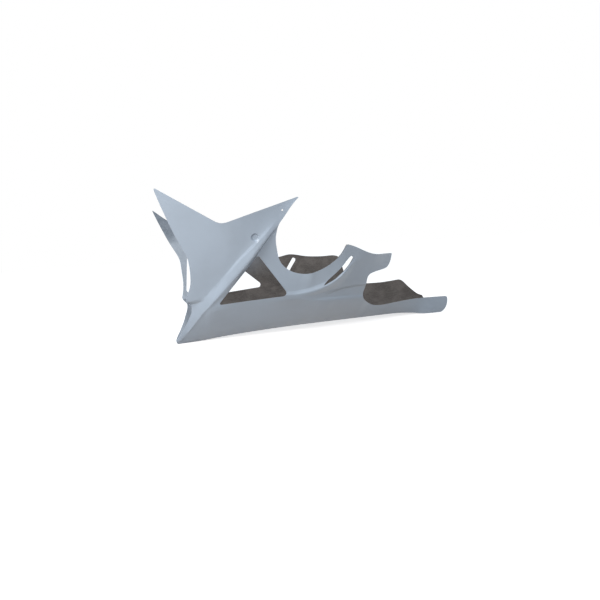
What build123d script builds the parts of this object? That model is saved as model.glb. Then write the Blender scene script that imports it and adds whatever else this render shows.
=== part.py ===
from build123d import *
import math
import os

# Belly pan of a sports motorcycle: one thin glass-fibre moulding, open at the front, the top and the tail.
# Millimetres.  +X runs towards the tail, +Y towards the rider's right, +Z up.  While the shape is being
# drawn x is counted from the tip of the front wing and z from the lowest line of the keel.

LENGTH = 818.0              # front wing tip to the end of the tail
WIDTH = 480.0               # over the widest part of the wings
HEIGHT = 370.0              # keel to the front wing tip
WALL = 2.8                  # laminate thickness
SIDE = 1.4 * WIDTH / 2      # half width of the trimming blocks, wider than the pan

DISH_D = 20.0               # mouth of the shallow dish that marks the fastener place on each upper panel
DISH_FLOOR_D = 12.0
DISH_DEPTH = 3.5
DISH_XZ = (208.0, 256.0)    # centre of the dish, seen from the side
STAY_D = 4.5                # clearance hole for a 4 mm stay screw near the tip of each rear wing
STAY_XZ = (270.0, 312.0)

# The places below are drawn for a pan of this length, width and height and are stretched to the sizes above.
DRAWN = (818.0, 480.0, 370.0)
STRETCH = (LENGTH / DRAWN[0], WIDTH / DRAWN[1], HEIGHT / DRAWN[2])

WINDOW = {-1: ((124.0, 102.0), (217.0, 217.5), (298.0, 110.0)),     # side window corners, left and right
          1: ((128.0, 109.0), (207.5, 209.0), (305.0, 117.0))}
WINDOW_R = (3.5, 7.0, 8.5)
SLOT = ((402.0, 162.0), (428.0, 190.0))     # right slot, ends of its centre line
SLOT_W = 12.0
VENT = ((76.5, 132.0), (92.0, 226.0))       # tall vent in the right panel only, ends of its centre line
VENT_W = 18.0

# Lines that run along the hull from the nose to the tail, as (x, y, z): y is the half width there.
KEEL = [(-24, 4, 0), (30, 4, 0), (81, 5, 1), (136, 10, 5.5), (191, 15, 8.6), (246, 18, 10.6), (306, 20, 11.8),
        (361, 22, 12.3), (421, 22, 12), (486, 21, 11.2), (551, 20, 10.2), (621, 20, 9.6), (685, 24, 8.5),
        (718, 30, 5), (748, 42, 1), (775, 48, 0), (850, 50, 0)]
LEDGE = [(-24, 6.4, 3.6), (20, 6.4, 3.6), (44, 22.5, 19.7), (69, 47.4, 45), (92, 75, 70), (105, 90, 81),
         (124, 99.5, 88), (190, 107.5, 91.5), (240, 117, 94), (290, 130, 98), (320, 134, 97), (351, 133.5, 92),
         (390, 131.5, 90), (440, 128, 89.5), (502, 122, 88.5), (530, 117.5, 86.5), (558, 111.5, 83.5),
         (600, 100, 79), (643, 92, 75), (700, 84, 72), (757, 79, 70), (850, 73, 65)]
GROOVE = [(-24, 6.6, 3.9), (20, 6.6, 3.9), (44, 23.9, 21.2), (69, 50.6, 48.4), (92, 80, 75.8), (105, 96, 88.5),
          (124, 109, 101), (193, 119.5, 104.5), (242, 129, 107), (281, 136, 108), (300, 138, 106),
          (320, 139.5, 104.5), (345, 141, 103.5), (362, 142.5, 104), (377, 144, 106.5), (393, 145.5, 110.5),
          (415, 148, 115), (440, 150, 119.5), (470, 151.5, 122), (502, 150, 123.5), (530, 141, 118),
          (558, 130, 110), (600, 113, 103), (643, 101, 99), (700, 93, 97.5), (757, 88, 96), (850, 80, 92)]
ROLL = [(-24, 6.8, 4.2), (20, 6.8, 4.2), (44, 25.1, 22.5), (69, 53.4, 51.3), (92, 84.2, 80.4), (105, 100.5, 94.3),
        (124, 112, 106), (193, 121.5, 108.5), (242, 131, 110), (281, 139, 111.5), (300, 141.5, 111.5),
        (314, 143.5, 113), (344, 151.5, 117), (368, 161.5, 122), (386, 172.5, 129.5), (406, 185, 141),
        (418, 192.5, 151), (425, 197.5, 159), (432, 202.5, 168), (440, 207.5, 177), (448, 211, 184),
        (456, 212.5, 187), (468, 211, 187.5), (480, 208, 186), (506, 201, 183), (540, 183, 181),
        (572, 166, 180), (600, 151, 172),
        (643, 131, 160), (700, 116, 150), (850, 98, 140)]
FOOT = [(-24, 6.9, 4.35), (20, 6.9, 4.35), (44, 26.1, 23.5), (69, 55.8, 53.8), (92, 88, 84.3), (105, 104.5, 98.8),
        (118, 115, 110.5), (124, 116, 112), (149, 128.5, 130), (176, 149, 163.5), (205, 172.5, 199.5),
        (218, 184, 218), (231, 195.5, 240), (245, 206.5, 259), (258, 213.5, 271), (272, 219.5, 281),
        (290, 225, 291), (307, 229, 297), (324, 222, 240), (340, 213, 196), (380, 230, 214), (410, 243, 236),
        (430, 246, 240), (450, 242, 232), (480, 235, 219), (506, 223, 210), (540, 201, 207), (572, 180, 205),
        (600, 162, 198), (643, 142, 185), (700, 126, 172), (850, 110, 160)]
CREST = [(-24, 7, 4.5), (20, 7, 4.5), (31, 13, 8.5), (44, 27, 24.5), (69, 58, 56), (92, 91.5, 88), (105, 108, 103),
         (118, 121, 117), (135, 137, 137), (158, 157.5, 161), (186, 182, 194.5), (204, 195, 214.5),
         (217, 203, 231), (231, 209, 247), (245, 214, 266), (258, 218.5, 278), (272, 223.5, 290),
         (290, 229, 303), (307, 233.5, 312), (340, 240, 318), (420, 247, 300), (572, 200, 260),
         (850, 140, 220)]
STEP_LOW = [(-24, 50, 105), (26, 53, 105.5), (42, 59, 106.5), (51, 65, 107), (60, 72, 107.5), (70, 82, 108.5),
            (81, 92.5, 111), (92, 104, 116), (102, 113.5, 125), (122, 131.5, 147.5), (142, 151.5, 170),
            (162, 170.5, 193), (187, 191, 220), (207, 203.5, 238), (224, 212.5, 255), (245, 218.5, 278),
            (272, 227, 301), (307, 236, 322), (340, 242, 330), (420, 249, 322), (572, 214, 288),
            (850, 150, 250)]
STEP_HIGH = [(-24, 68, 115.5), (26, 78, 115.5), (42, 83, 115.5), (51, 87, 115.5), (60, 91, 116), (70, 95.5, 117),
             (81, 100.5, 118.5), (92, 107, 123), (102, 115.5, 133), (122, 134.5, 155.5), (142, 153.5, 178),
             (162, 171.5, 201), (187, 191.5, 228), (207, 204, 246), (224, 212.5, 263), (245, 220.5, 286),
             (272, 229.3, 309), (307, 238, 330), (340, 243, 337), (420, 250, 332), (572, 218, 300),
             (850, 155, 265)]
PANEL = [(-24, 137.5, 250), (0, 145.7, 250), (60, 166, 250), (100, 179.6, 250), (132, 190.5, 250),
         (156, 201, 258), (182, 211, 270), (211, 220, 287), (245, 228.5, 310), (272, 234, 324), (307, 240.5, 345),
         (340, 245, 355), (420, 252, 355), (572, 228, 340), (850, 170, 320)]
TOP = [(-24, 221, 400), (0, 229, 400), (60, 249, 400), (100, 262, 400), (132, 270, 400), (182, 272, 400),
       (245, 266, 400), (307, 263, 400), (420, 262, 400), (572, 240, 400), (850, 190, 400)]
LINES = (KEEL, LEDGE, GROOVE, ROLL, FOOT, CREST, STEP_LOW, STEP_HIGH, PANEL, TOP)
ROLLS = (None, 6.0, None, 6.0, None, 7.0, None, 7.0, 40.0, None)    # how far the skin rolls; None is a fold
UPRIGHT_LEAN = 0.08         # outward slope of the skin where it is turned upright
BELLY_LEAN = -10            # degrees by which the belly starts flatter than its chord

STATIONS = (-22, 12, 31, 50, 69, 92, 106, 120, 145, 175, 205, 230, 258, 290, 320, 350, 378, 404, 418, 430,
            442, 456, 475, 510, 550, 610, 665, 715, 748, 785, 846)


def slopes(xs, ys):
    """Slope of a smooth curve through the points that never overshoots them."""
    h = [b - a for a, b in zip(xs, xs[1:])]
    rise = [(b - a) / d for a, b, d in zip(ys, ys[1:], h)]
    found = [rise[0]]
    for i in range(1, len(xs) - 1):
        if rise[i - 1] * rise[i] <= 0:
            found.append(0.0)
        else:
            w1 = 2 * h[i] + h[i - 1]
            w2 = h[i] + 2 * h[i - 1]
            found.append((w1 + w2) / (w1 / rise[i - 1] + w2 / rise[i]))
    found.append(rise[-1])
    return found


def follow(line, x):
    """Half width and height of a hull line at x."""
    xs = [p[0] * STRETCH[0] for p in line]
    k = max([i for i in range(len(xs) - 1) if xs[i] <= x] or [0])
    h = xs[k + 1] - xs[k]
    t = min(max((x - xs[k]) / h, 0.0), 1.0)
    found = []
    for axis in (1, 2):
        ys = [p[axis] * STRETCH[axis] for p in line]
        m = slopes(xs, ys)
        found.append((2 * t ** 3 - 3 * t ** 2 + 1) * ys[k] + (t ** 3 - 2 * t ** 2 + t) * h * m[k]
                     + (3 * t ** 2 - 2 * t ** 3) * ys[k + 1] + (t ** 3 - t ** 2) * h * m[k + 1])
    return found[0], found[1]


def unit(v):
    size = math.hypot(v[0], v[1])
    return v[0] / size, v[1] / size


def turned(v, degrees):
    c = math.cos(math.radians(degrees))
    s = math.sin(math.radians(degrees))
    return v[0] * c - v[1] * s, v[0] * s + v[1] * c


def upright(line, x):
    """How far the skin is turned upright where it crosses a line, 0 to 1."""
    if line is ROLL:
        start, full, fade, end, most = 285, 305, 440, 460, 1.0
    elif line is LEDGE:
        start, full, fade, end, most = 330, 370, 500, 560, 0.6
    else:
        return 0.0
    along = x / STRETCH[0]
    rise = min(max((along - start) / (full - start), 0.0), 1.0)
    fall = min(max((end - along) / (end - fade), 0.0), 1.0)
    return most * rise * fall


def half_section(x, inset):
    """Strips of one half section, keel to top, each as four Bezier points; inset moves them inwards."""
    points = [(0.0, follow(KEEL, x)[1])] + [follow(line, x) for line in LINES]
    n = len(points)
    chord = [unit((b[0] - a[0], b[1] - a[1])) for a, b in zip(points, points[1:])]
    size = [math.dist(a, b) for a, b in zip(points, points[1:])]
    leave = list(chord)
    arrive = list(chord)
    early = [d / 3 for d in size]
    late = [d / 3 for d in size]
    for i in range(1, n - 1):
        reach = ROLLS[i - 1]
        mid = unit((chord[i - 1][0] + chord[i][0], chord[i - 1][1] + chord[i][1]))
        share = upright(LINES[i - 1], x)
        mid = unit((mid[0] * (1 - share) + UPRIGHT_LEAN * share, mid[1] * (1 - share) + share))
        if reach is not None:
            arrive[i - 1] = mid
            leave[i] = mid
            late[i - 1] = min(size[i - 1] / 3, reach)
            early[i] = min(size[i] / 3, reach)
    leave[1] = turned(chord[1], BELLY_LEAN)
    moved = []
    for i in range(n):
        a = arrive[i - 1] if i > 0 else (1.0, 0.0)
        b = leave[i] if i < n - 1 else arrive[-1]
        na = (-a[1], a[0])
        nb = (-b[1], b[0])
        fold = max(1.0 + na[0] * nb[0] + na[1] * nb[1], 0.8)
        moved.append(((na[0] + nb[0]) / fold * inset, (na[1] + nb[1]) / fold * inset))
    strips = []
    for i in range(n - 1):
        p0 = (points[i][0] + moved[i][0], points[i][1] + moved[i][1])
        p3 = (points[i + 1][0] + moved[i + 1][0], points[i + 1][1] + moved[i + 1][1])
        p1 = (p0[0] + leave[i][0] * early[i], p0[1] + leave[i][1] * early[i])
        p2 = (p3[0] - arrive[i][0] * late[i], p3[1] - arrive[i][1] * late[i])
        strips.append((p0, p1, p2, p3))
    return strips


def skin(inset):
    """One skin of the right half as a grid of cubic patches, [strip][bay] -> 4 x 4 control points."""
    stations = [x * STRETCH[0] for x in STATIONS]
    rows = [[p for strip in half_section(x, inset) for p in strip] for x in stations]
    columns = []
    for j in range(len(rows[0])):
        my = slopes(stations, [row[j][0] for row in rows])
        mz = slopes(stations, [row[j][1] for row in rows])
        bays = []
        for i in range(len(stations) - 1):
            h = (stations[i + 1] - stations[i]) / 3
            (ya, za), (yb, zb) = rows[i][j], rows[i + 1][j]
            bays.append([(stations[i], ya, za), (stations[i] + h, ya + h * my[i], za + h * mz[i]),
                         (stations[i + 1] - h, yb - h * my[i + 1], zb - h * mz[i + 1]), (stations[i + 1], yb, zb)])
        columns.append(bays)
    return [[[columns[4 * s + k][i] for k in range(4)] for i in range(len(stations) - 1)]
            for s in range(len(rows[0]) // 4)]


def half_hull():
    """Right half of the untrimmed hull, a closed solid of the wall thickness."""
    outside = skin(0.0)
    inside = skin(WALL)
    faces = [Face.make_bezier_surface(patch) for grid in (outside, inside) for strip in grid for patch in strip]
    for a, b in ((outside[0], inside[0]), (outside[-1], inside[-1])):
        k = 0 if a is outside[0] else 3
        for pa, pb in zip(a, b):
            faces.append(Face.make_bezier_surface([pa[k], pb[k]]))
    for bay, end in ((0, 0), (-1, 3)):
        rim = []
        for grid in (outside, inside):
            rim += [Edge.make_bezier(*[column[end] for column in strip[bay]]) for strip in grid]
        for strip, k in ((0, 0), (-1, 3)):
            rim.append(Edge.make_line(outside[strip][bay][k][end], inside[strip][bay][k][end]))
        faces.append(Face(Wire(rim)))
    return Solid(Shell(faces))


def closed_outline(runs):
    """Side-view outline from runs of points: 'l' straight, 's' a smooth curve, 't' one in line with both
    neighbours."""
    runs = [(kind, [Vector(x * STRETCH[0], 0, z * STRETCH[2]) for x, z in pts]) for kind, pts in runs]
    edges = []
    last = None
    for i, (kind, pts) in enumerate(runs):
        if last is not None:
            pts = [last] + pts
        if kind == "l":
            edges += [Edge.make_line(a, b) for a, b in zip(pts, pts[1:])]
        elif kind == "s":
            edges.append(Edge.make_spline(pts))
        else:
            onward = (runs[i + 1][1][0] - pts[-1]).normalized()
            edges.append(Edge.make_spline(pts, tangents=[edges[-1].tangent_at(1), onward]))
        last = pts[-1]
    edges.append(Edge.make_line(last, runs[0][1][0]))
    return Face(Wire(edges))


def block(face, side):
    """Trimming block from the centre plane out to one side."""
    return Solid.extrude(face, Vector(0, side * SIDE, 0))


FRONT = [("l", [(30, -8), (23, 1), (20.5, 6)]),
         ("s", [(25, 16), (32, 26), (40, 39), (48, 53), (56.5, 71), (62, 84), (63, 95)]),
         ("s", [(57.5, 107), (52, 111.5), (51, 116), (52.5, 127), (57, 140), (61.5, 154), (63.5, 175),
                (62.5, 200), (59, 222), (52, 239), (41, 261), (23, 304), (11, 336), (0.8, 366)]),
         ("l", [(0.6, 369.2), (3.0, 370.4), (112, 301.6)]),
         ("t", [(117.5, 298.1), (123.5, 294.8), (129.5, 292.6), (135.5, 291.8), (141.5, 292.2), (148, 293.6)]),
         ("l", [(304.5, 339.3), (307, 337.6)])]

FAR_FRONT = [("l", [(30, -8), (23, 1), (20.5, 6)]),
             ("s", [(25, 16), (32, 26), (40, 39), (48, 53), (56.5, 71), (62, 84), (63, 95)]),
             ("s", [(55.5, 105), (52.5, 111), (54.5, 119), (58, 131), (61.5, 158), (61.3, 188), (59.5, 220),
                    (52, 239), (41, 261), (23, 304), (11, 336), (0.8, 366)])]

LEFT = FRONT + [
         ("s", [(288, 317), (272, 295), (262, 281), (258.5, 268), (256.8, 252), (258.2, 238), (261.5, 223),
                (264.5, 210), (275, 190), (290, 176.5), (306, 168), (324, 163), (341, 162.3), (356, 166),
                (373, 173.5), (387, 182.5), (400, 193), (410, 206), (417, 222)]),
         ("l", [(419, 225.3), (423, 225)]),
         ("s", [(448, 216.5), (479, 203.5), (506, 196.8), (540, 195.5), (570, 194.8)]),
         ("l", [(573, 192), (573, 180)]),
         ("s", [(571, 167), (566, 159.5), (556, 155.5), (540, 153), (522, 150), (510, 146)]),
         ("s", [(506, 139), (507.5, 125), (508, 108), (508, 92.5), (515, 78.5), (533, 64.5), (556, 53),
                (576, 48), (600, 47.3), (643, 50.5), (701, 53.5), (757, 52.3), (806, 50)]),
         ("s", [(812, 47), (816, 38), (817.5, 25), (814, 10), (804, 0), (790, -8)])]

RIGHT = FAR_FRONT + [
         ("l", [(0.6, 367), (2.5, 367.6)]),
         ("s", [(22, 351), (44, 334), (75, 317), (112, 299)])] + FRONT[4:] + [
         ("s", [(288, 317), (272, 295), (262, 281), (256.5, 268), (255, 254), (259, 240), (268, 228),
                (284, 218), (305, 210.5), (335, 204.5), (362, 202), (382, 202.5), (404, 206.5), (420, 207.8),
                (440, 205), (458, 200.7), (476, 197.3), (494, 195.3), (515, 193.8), (536, 193.6), (553, 194),
                (565, 191.5)]),
         ("l", [(571, 187), (573, 178), (572, 116)]),
         ("s", [(575, 106), (584, 100), (600, 98)]),
         ("s", [(640, 96.5), (685, 96), (715, 97.5), (742, 99.5)]),
         ("s", [(750, 97.5), (766, 81), (781, 64.5), (793, 53), (804, 46), (812, 43.5)]),
         ("s", [(816, 37), (817.5, 25), (814, 10), (804, 0), (790, -8)])]


# Left slot, pointed below and round above, from its lower tip.
SLOT_EDGE = [("l", [(380, 128.5), (381, 130.5)]),
             ("s", [(387, 140), (403, 157), (412.5, 167), (426, 186)]),
             ("s", [(432.5, 194), (438, 197.5), (442, 195), (441.5, 189)]),
             ("s", [(438, 181), (432, 171.5), (425, 163), (415, 153), (406, 144), (394, 136), (384, 129.8)])]


def window(side):
    """Three-cornered window, seen from the side."""
    corners = [Vector(x * STRETCH[0], 0, z * STRETCH[2]) for x, z in WINDOW[side]]
    body = block(Face(Wire.make_polygon(corners, close=True)), side)
    for corner, r in zip(corners, WINDOW_R):
        post = min((e for e in body.edges() if abs(e.tangent_at(0.5).Y) > 0.99),
                   key=lambda e: math.hypot(e.center().X - corner.X, e.center().Z - corner.Z))
        body = body.fillet(r, [post])
    return body


def slot(ends, width, side):
    """Round-ended slot through one wall, seen from the side."""
    (xa, za), (xb, zb) = [(x * STRETCH[0], z * STRETCH[2]) for x, z in ends]
    lean = math.degrees(math.atan2(zb - za, xb - xa))
    flat = Plane(origin=((xa + xb) / 2, 0, (za + zb) / 2), x_dir=(1, 0, 0), z_dir=(0, -1, 0)) \
        * (Rot(0, 0, lean) * SlotCenterToCenter(math.hypot(xb - xa, zb - za), width))
    return block(flat.faces()[0], side)


def half_width(x, z):
    """Half width of the untrimmed outside at x and z."""
    for strip in half_section(x, 0.0):
        if strip[0][1] <= z <= strip[3][1]:
            low, high = 0.0, 1.0
            for turn in range(40):
                t = (low + high) / 2
                weights = ((1 - t) ** 3, 3 * t * (1 - t) ** 2, 3 * t * t * (1 - t), t ** 3)
                if sum(w * p[1] for w, p in zip(weights, strip)) < z:
                    low = t
                else:
                    high = t
            return sum(w * p[0] for w, p in zip(weights, strip))
    return 0.0


def on_panel(xz, side):
    """Plane on the outside of a panel at xz, its z pointing out of the panel."""
    x, z = xz[0] * STRETCH[0], xz[1] * STRETCH[2]
    y = half_width(x, z)
    dx = (half_width(x + 8, z) - half_width(x - 8, z)) / 16
    dz = (half_width(x, z + 8) - half_width(x, z - 8)) / 16
    return Plane(origin=(x, side * y, z), z_dir=(-dx, side, -dz))


def lathe_at(plane, rings):
    """Turned body on a plane; rings are (height, radius) from the bottom up."""
    profile = [(0, rings[0][0])] + [(r, h) for h, r in rings] + [(0, rings[-1][0])]
    flat = Face(Wire.make_polygon([Vector(r, 0, h) for r, h in profile], close=True))
    return plane * revolve(flat, Axis.Z, 360)


def dish_back(side):
    """What the dish adds behind the panel."""
    grow = WALL * 0.7
    return lathe_at(on_panel(DISH_XZ, side), [(-DISH_DEPTH - WALL, DISH_FLOOR_D / 2 + grow),
                                              (-WALL / 2, DISH_D / 2 + grow)])


def dish(side):
    """What the dish takes away from the outside."""
    above = 2.0
    spread = (DISH_D - DISH_FLOOR_D) / 2 / DISH_DEPTH * above
    return lathe_at(on_panel(DISH_XZ, side), [(-DISH_DEPTH, DISH_FLOOR_D / 2), (above, DISH_D / 2 + spread)])


def stay_hole(side):
    deep = 5 * WALL
    return lathe_at(on_panel(STAY_XZ, side), [(-deep, STAY_D / 2), (deep, STAY_D / 2)])


right = half_hull()
left = mirror(right, about=Plane.XZ)
left = left & block(closed_outline(LEFT), -1)
left = left - block(closed_outline(SLOT_EDGE), -1)
right = right & block(closed_outline(RIGHT), 1)
right = right - slot(SLOT, SLOT_W, 1) - slot(VENT, VENT_W, 1)
halves = []
for half, side in ((left, -1), (right, 1)):
    halves.append(half - window(side) + dish_back(side) - dish(side) - stay_hole(side))
pan = halves[0] + halves[1]

pan = Pos(-LENGTH / 2, 0, 0) * pan
pan.label = "belly_pan"
os.makedirs("parts", exist_ok=True)
export_step(pan, "parts/belly_pan.step")
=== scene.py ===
"""Looks for the belly pan: one glass-fibre moulding, gelcoat outside and bare laminate inside.  Metres."""
import bpy
import math
from mathutils import Euler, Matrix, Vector


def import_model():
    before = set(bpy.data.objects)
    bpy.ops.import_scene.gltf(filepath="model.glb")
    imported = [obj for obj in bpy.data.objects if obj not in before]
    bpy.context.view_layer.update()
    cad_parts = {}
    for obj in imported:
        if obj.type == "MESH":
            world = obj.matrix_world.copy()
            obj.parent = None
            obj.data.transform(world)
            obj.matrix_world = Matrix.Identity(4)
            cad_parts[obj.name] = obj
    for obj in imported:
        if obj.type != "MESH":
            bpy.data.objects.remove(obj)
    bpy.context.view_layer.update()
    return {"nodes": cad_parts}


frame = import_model()

PAN = frame["nodes"]["belly_pan"]

CAMERA_AT = (-0.433, -1.210, 0.224)
HEADING = 18.04             # degrees, to the right of +Y
PITCH = -6.5                # down is negative
BANK = -4.35
LENS = 27.0                 # millimetres, as is the sensor's width
SENSOR = 36.0

# Colours are linear.
GELCOAT = (0.405, 0.475, 0.560)
GELCOAT_WORN = (0.365, 0.425, 0.500)
GELCOAT_DUST = (0.46, 0.52, 0.60)
# Gelcoat carried round the nose lips, and painted light there: the lip is as light as the outside where the
# wing shades it.
GELCOAT_LIP_PAINTED_LIGHT = (0.435, 0.475, 0.525)
OVERSPRAY = (0.180, 0.207, 0.242)
OVERSPRAY_PALE = (0.235, 0.262, 0.300)
# Bare laminate, darker than its own colour: painted shade for the inside of the pan.
LAMINATE_PAINTED_SHADE = (0.056, 0.046, 0.040)
LAMINATE_PALE_PAINTED_SHADE = (0.110, 0.093, 0.083)
LAMINATE_FIBRE_PAINTED_SHADE = (0.158, 0.142, 0.127)

ROUGH_INSIDE = 0.62
ROUGH_OUTSIDE = 0.36
COAT = 0.25                 # clear coat on the gelcoat
COAT_ROUGH = 0.20

# Noise: scale, detail and roughness, and for patches the two values between which they set in.
CLOUD = (7.0, 4.0, 0.55)    # worn areas of the gelcoat
CLOUD_STEPS = (0.35, 0.75)
DUST = (340.0, 2.0, 0.5)
DUST_STEPS = (0.66, 0.74)
DUST_SHARE = 0.30
POOL = (26.0, 3.0, 0.6)     # where the resin is thicker or thinner
POOL_STEPS = (0.38, 0.66)
MIST = (90.0, 3.0, 0.6)     # overspray
MIST_STEPS = (0.35, 0.65)
RAGGED = (24.0, 4.0, 0.6)   # edge of the gelcoat lip
RAGGED_WIDTH = 0.09
PEEL = (420.0, 2.0, 0.5)    # fine ripple all over
PEEL_SHARE = 0.05
STRAND = (1.0, 2.0, 0.5)
STRAND_STEPS = (0.56, 0.64)
STRAND_SHARE = 0.45
STRAND_ALONG = 60.0         # scale along a strand, far coarser than across it
STRANDS = (                 # turn of each layer in radians, and its scale across the strands
    ((0.3, 0.2, 0.5), 900.0),
    ((0.9, 1.3, 2.1), 800.0),
    ((1.7, 0.6, -0.7), 1000.0),
)

# A surface is outside where it faces away from the centre plane or down.
DOWN_SHARE = 0.55
OUTSIDE_STEPS = (-0.10, 0.02)

# Inside, each pair runs from none to full: overspray up in the wings, gelcoat low at the nose lips, with
# painted light there where the wing shades the lip.
WING_Z = (0.13, 0.24)
WING_X = (-0.02, -0.20)
PAINTED_LIGHT_LIP_Z = (0.305, 0.255)
PAINTED_LIGHT_LIP_X = (-0.283, -0.308)

GRAIN_BUMP = 0.5            # strength of the fine relief, and its depth
GRAIN_DEEP = 0.0006
MILLIMETRE = 0.001

# Relief in the flank.  Four numbers say where it rises, is full, starts to fade and ends.
# Two shallow folds lie between the slot and the tail notch: the crease above and the shelf below.
FOLDS_X = (-0.030, 0.012, 0.112, 0.138)
CREASE_AT = (0.071, 0.1205)                 # x and z of the top of the crease's arc
CREASE_BEND = 1.97
CREASE_OVER = (-0.008, 0.001, 0.004, 0.055)
CREASE_DEEP = 3.2                           # millimetres
SHELF_Z = 0.0912                            # height at x = 0, from which it falls towards the tail
SHELF_FALL = 0.045
SHELF_OVER = (-0.080, -0.012, -0.009, 0.003)
SHELF_DEEP = 4.0
# The roll lies under the bowl and the slot.
ROLL_X = (-0.165, -0.120, 0.018, 0.040)
ROLL_AT = (-0.109, 0.1115)                  # x and z where the roll starts to climb
ROLL_BEND = 2.6
ROLL_OVER = (-0.035, -0.003, -0.001, 0.010)
ROLL_DEEP = 3.0

FLOOR_RADIUS = 60.0
FLOOR_CORNERS = 96
FLOOR_DROP = 0.0005                     # gap under the pan
FLOOR_SEEN = (0.92, 0.86, 0.82)         # colour of the floor where it is looked at
FLOOR_LIFT = 0.66                       # light added there, which makes it white out of the shadow
FLOOR_BOUNCE = (0.42, 0.37, 0.33)       # colour of the floor for the light that it throws back
SKY = (0.75, 0.875, 1.0)
SKY_LEVEL = 0.53
WHITE = (1.0, 1.0, 1.0, 1.0)
LAMP_AIM = (-0.15, 0.0, 0.12)
LAMPS = {                   # place, width, watts
    "key": ((-1.2, -0.9, 0.9), 0.9, 16.5),
    "front": ((-0.6, -3.4, 1.2), 2.2, 20.0),
}


class Nodes:
    """Short way to add shader nodes and join them."""

    def __init__(self, owner):
        owner.use_nodes = True
        self.tree = owner.node_tree
        self.tree.nodes.clear()

    def add(self, kind, settings=None, **inputs):
        """New node.  An input is named by its label, with _ for a space, or as i and its number."""
        made = self.tree.nodes.new(kind)
        for name, value in (settings or {}).items():
            setattr(made, name, value)
        for name, value in inputs.items():
            numbered = name[0] == "i" and name[1:].isdigit()
            socket = made.inputs[int(name[1:]) if numbered else name.replace("_", " ")]
            if isinstance(value, bpy.types.NodeSocket):
                self.tree.links.new(value, socket)
            else:
                socket.default_value = value
        return made

    def math(self, operation, a, b=0.0):
        return self.add("ShaderNodeMath", {"operation": operation}, i0=a, i1=b).outputs[0]

    def times(self, a, b):
        return self.math("MULTIPLY", a, b)

    def highest(self, first, *others):
        for other in others:
            first = self.math("MAXIMUM", first, other)
        return first

    def ramp(self, value, low, high):
        """0 up to low, 1 from high on, smooth between.  It runs the other way where high is the smaller."""
        made = self.add("ShaderNodeMapRange", {"interpolation_type": "SMOOTHSTEP"},
                        Value=value, From_Min=low, From_Max=high)
        return made.outputs["Result"]

    def band(self, value, rise, full, fade, end):
        """1 from full to fade, 0 up to rise and from end on, smooth between."""
        return self.times(self.ramp(value, rise, full), self.ramp(value, end, fade))

    def mix(self, factor, a, b):
        """Colour a where factor is 0, b where it is 1."""
        a, b = (c if isinstance(c, bpy.types.NodeSocket) else (*c, 1.0) for c in (a, b))
        return self.add("ShaderNodeMix", {"data_type": "RGBA"}, i0=factor, i6=a, i7=b).outputs[2]

    def noise(self, place, scale, detail, roughness):
        made = self.add("ShaderNodeTexNoise", Vector=place, Scale=scale, Detail=detail, Roughness=roughness)
        return made.outputs["Fac"]

    def patches(self, place, pattern, steps):
        return self.ramp(self.noise(place, *pattern), *steps)

    def axes(self, vector):
        return self.add("ShaderNodeSeparateXYZ", Vector=vector).outputs


def strands(n, place, turn, across):
    """Chopped glass fibres lying one way: 1 on a strand, 0 between."""
    lie = n.add("ShaderNodeMapping", Vector=place, Rotation=turn, Scale=(STRAND_ALONG, across, across))
    return n.patches(lie.outputs["Vector"], STRAND, STRAND_STEPS)


def folds(n, along):
    """Height in millimetres of the relief in the flank: the crease, the shelf under it, and the roll."""
    off = n.math("SUBTRACT", along["X"], CREASE_AT[0])
    drop = n.times(n.times(off, off), CREASE_BEND)
    over = n.math("ADD", n.math("SUBTRACT", along["Z"], CREASE_AT[1]), drop)
    crease = n.times(n.band(over, *CREASE_OVER), CREASE_DEEP)

    over = n.math("ADD", n.math("SUBTRACT", along["Z"], SHELF_Z), n.times(along["X"], SHELF_FALL))
    shelf = n.times(n.band(over, *SHELF_OVER), SHELF_DEEP)
    both = n.times(n.math("ADD", crease, shelf), n.band(along["X"], *FOLDS_X))

    climb = n.highest(n.math("SUBTRACT", along["X"], ROLL_AT[0]), 0.0)
    lift = n.times(n.times(climb, climb), ROLL_BEND)
    over = n.math("SUBTRACT", n.math("SUBTRACT", along["Z"], ROLL_AT[1]), lift)
    roll = n.times(n.band(over, *ROLL_OVER), n.band(along["X"], *ROLL_X))
    return n.math("ADD", both, n.times(roll, ROLL_DEEP))


def outer_face(n, along):
    """1 on the gelcoat face of the wall, 0 on the laminate face."""
    facing = n.axes(n.add("ShaderNodeNewGeometry").outputs["Normal"])
    side = n.math("SIGN", along["Y"])
    outward = n.math("SUBTRACT", n.times(side, facing["Y"]), n.times(facing["Z"], DOWN_SHARE))
    return n.ramp(outward, *OUTSIDE_STEPS)


def gelcoat(n, place):
    skin = n.mix(n.patches(place, CLOUD, CLOUD_STEPS), GELCOAT, GELCOAT_WORN)
    dust = n.patches(place, DUST, DUST_STEPS)
    return n.mix(n.times(dust, DUST_SHARE), skin, GELCOAT_DUST)


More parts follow.
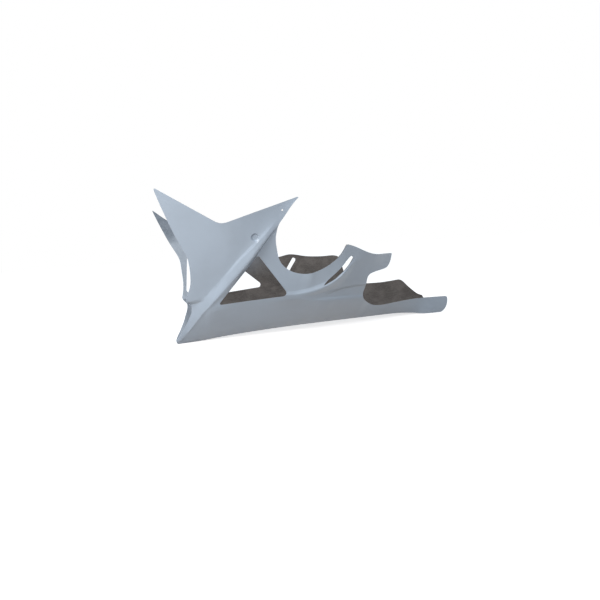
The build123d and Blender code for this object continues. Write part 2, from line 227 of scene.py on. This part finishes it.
def laminate(n, place, along, fibres, pool):
    """Bare resin and fibres, darkened past their own colour as painted shade, with overspray in the wings
    and gelcoat carried round the nose lips, lightened there as painted light.
    """
    # Painted shade: the resin and fibre colours stand in for the shade inside the pan.
    resin = n.mix(pool, LAMINATE_PAINTED_SHADE, LAMINATE_PALE_PAINTED_SHADE)
    resin = n.mix(n.times(fibres, STRAND_SHARE), resin, LAMINATE_FIBRE_PAINTED_SHADE)
    wing = n.times(n.ramp(along["Z"], *WING_Z), n.ramp(along["X"], *WING_X))
    mist = n.mix(n.patches(place, MIST, MIST_STEPS), OVERSPRAY, OVERSPRAY_PALE)
    ragged = n.times(n.math("SUBTRACT", n.noise(place, *RAGGED), 0.5), RAGGED_WIDTH)
    # Painted light: gelcoat colour on the lips stands in for light where the wing shades them.
    lip_painted_light = n.times(n.ramp(n.math("ADD", along["Z"], ragged), *PAINTED_LIGHT_LIP_Z),
                  n.ramp(n.math("ADD", along["X"], ragged), *PAINTED_LIGHT_LIP_X))
    return n.mix(lip_painted_light, n.mix(wing, resin, mist), GELCOAT_LIP_PAINTED_LIGHT)


def relief(n, place, along, outside, grain):
    """Normal with a fine ripple all over, the laminate's grain inside and the folds outside."""
    bare = n.math("SUBTRACT", 1.0, outside)
    height = n.math("ADD", n.times(n.noise(place, *PEEL), PEEL_SHARE), n.times(grain, bare))
    fine = n.add("ShaderNodeBump", Strength=GRAIN_BUMP, Distance=GRAIN_DEEP, Height=height)
    coarse = n.add("ShaderNodeBump", Strength=1.0, Distance=MILLIMETRE, Normal=fine.outputs["Normal"],
                   Height=n.times(folds(n, along), outside))
    return coarse.outputs["Normal"]


def moulding_material():
    material = bpy.data.materials.new("gelcoat_moulding")
    n = Nodes(material)
    place = n.add("ShaderNodeTexCoord").outputs["Object"]
    along = n.axes(place)
    outside = outer_face(n, along)
    fibres = n.highest(*(strands(n, place, turn, across) for turn, across in STRANDS))
    pool = n.patches(place, POOL, POOL_STEPS)

    colour = n.mix(outside, laminate(n, place, along, fibres, pool), gelcoat(n, place))
    roughness = n.add("ShaderNodeMapRange", Value=outside, To_Min=ROUGH_INSIDE, To_Max=ROUGH_OUTSIDE)
    normal = relief(n, place, along, outside, n.math("ADD", fibres, pool))
    shader = n.add("ShaderNodeBsdfPrincipled", Base_Color=colour, Roughness=roughness.outputs["Result"],
                   Normal=normal, Coat_Weight=n.times(outside, COAT), Coat_Roughness=COAT_ROUGH)
    n.add("ShaderNodeOutputMaterial", Surface=shader.outputs["BSDF"])
    return material


def seen_directly(n):
    """1 where the camera sees the surface, also in a gloss or through glass, and 0 for light thrown on."""
    paths = n.add("ShaderNodeLightPath").outputs
    return n.highest(paths["Is Camera Ray"], paths["Is Glossy Ray"], paths["Is Transmission Ray"])


def floor():
    """Wide pale disc under the pan, white where it is looked at and duller in the light it throws back."""
    bpy.ops.mesh.primitive_circle_add(vertices=FLOOR_CORNERS, radius=FLOOR_RADIUS, fill_type="NGON",
                                      location=(0, 0, -FLOOR_DROP))
    made = bpy.context.object
    made.name = "floor"
    material = bpy.data.materials.new("floor_white")
    n = Nodes(material)
    seen = seen_directly(n)
    shader = n.add("ShaderNodeBsdfDiffuse", Color=n.mix(seen, FLOOR_BOUNCE, FLOOR_SEEN))
    lift = n.add("ShaderNodeEmission", Strength=n.times(seen, FLOOR_LIFT))
    both = n.add("ShaderNodeAddShader", i0=shader.outputs["BSDF"], i1=lift.outputs["Emission"])
    n.add("ShaderNodeOutputMaterial", Surface=both.outputs[0])
    made.data.materials.append(material)


def world():
    """White where it is looked at, and a dimmer cool sky for the light that it gives."""
    made = bpy.data.worlds.new("studio")
    bpy.context.scene.world = made
    n = Nodes(made)
    soft = n.add("ShaderNodeBackground", Color=(*SKY, 1.0), Strength=SKY_LEVEL)
    white = n.add("ShaderNodeBackground", Color=WHITE, Strength=1.0)
    both = n.add("ShaderNodeMixShader", i0=seen_directly(n), i1=soft.outputs[0], i2=white.outputs[0])
    n.add("ShaderNodeOutputWorld", Surface=both.outputs[0])


def lamp(name, at, width, power):
    """Broad soft lamp; the key is near the nose, so its light falls off towards the tail."""
    data = bpy.data.lights.new(name, "AREA")
    data.shape = "DISK"
    data.size = width
    data.energy = power
    made = bpy.data.objects.new(name, data)
    made.location = at
    made.rotation_euler = (Vector(at) - Vector(LAMP_AIM)).to_track_quat("Z", "Y").to_euler()
    made.visible_camera = False
    bpy.context.scene.collection.objects.link(made)


def camera():
    data = bpy.data.cameras.new("camera")
    data.lens = LENS
    data.sensor_width = SENSOR
    made = bpy.data.objects.new("camera", data)
    made.location = CAMERA_AT
    turn = Euler((0, 0, math.radians(-HEADING))).to_matrix()
    tip = Euler((math.radians(90 + PITCH), 0, 0)).to_matrix()
    bank = Euler((0, 0, math.radians(BANK))).to_matrix()
    made.rotation_euler = (turn @ tip @ bank).to_euler()
    bpy.context.scene.collection.objects.link(made)
    bpy.context.scene.camera = made


PAN.data.materials.clear()
PAN.data.materials.append(moulding_material())
floor()
world()
camera()
for name, (at, width, power) in LAMPS.items():
    lamp(name, at, width, power)
bpy.context.scene.view_settings.view_transform = "Standard"
